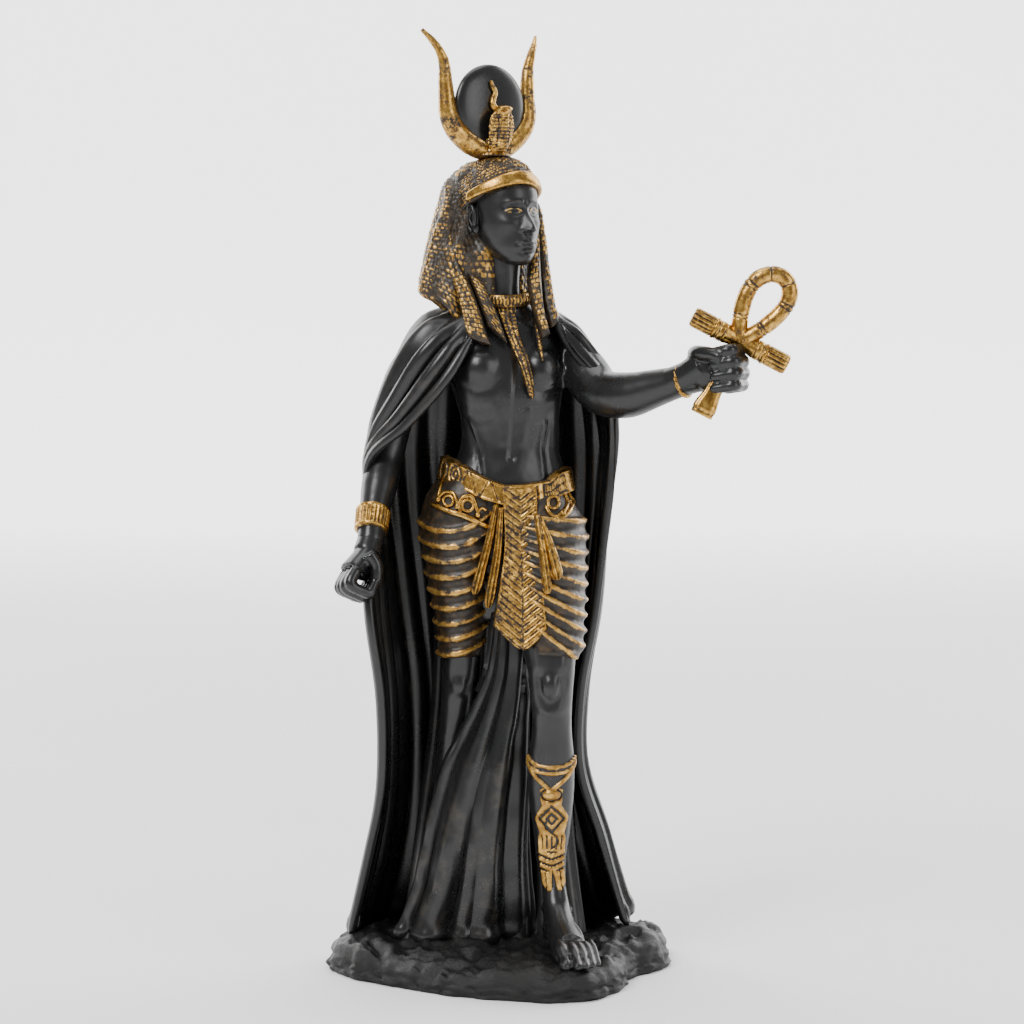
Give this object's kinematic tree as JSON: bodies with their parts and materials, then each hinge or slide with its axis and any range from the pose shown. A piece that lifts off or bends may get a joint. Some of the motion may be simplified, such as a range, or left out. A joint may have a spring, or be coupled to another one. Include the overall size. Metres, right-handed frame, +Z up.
{
  "type": "goddess statuette",
  "caption": "Standing cloaked goddess statuette with a horned sun crown, pleated kilt and a looped cross held out in one fist, on rough ground.",
  "frame": {"origin": "middle of the flat underside of the ground", "axes": "+Z up through the figure, -Y to the side the figure faces, +X to the viewer's right, where the arm with the looped cross reaches"},
  "size_m": [0.1384, 0.0914, 0.285],
  "materials": {
    "black_resin": "black satin paint on cast resin",
    "gold_crown": "rubbed gold paint over black on cast resin",
    "gold_ankh": "rubbed gold paint on cast resin"
  },
  "bodies": {
    "root": {"statue": "black_resin", "crown": "gold_crown", "ankh": "gold_ankh"}
  },
  "joints": []
}
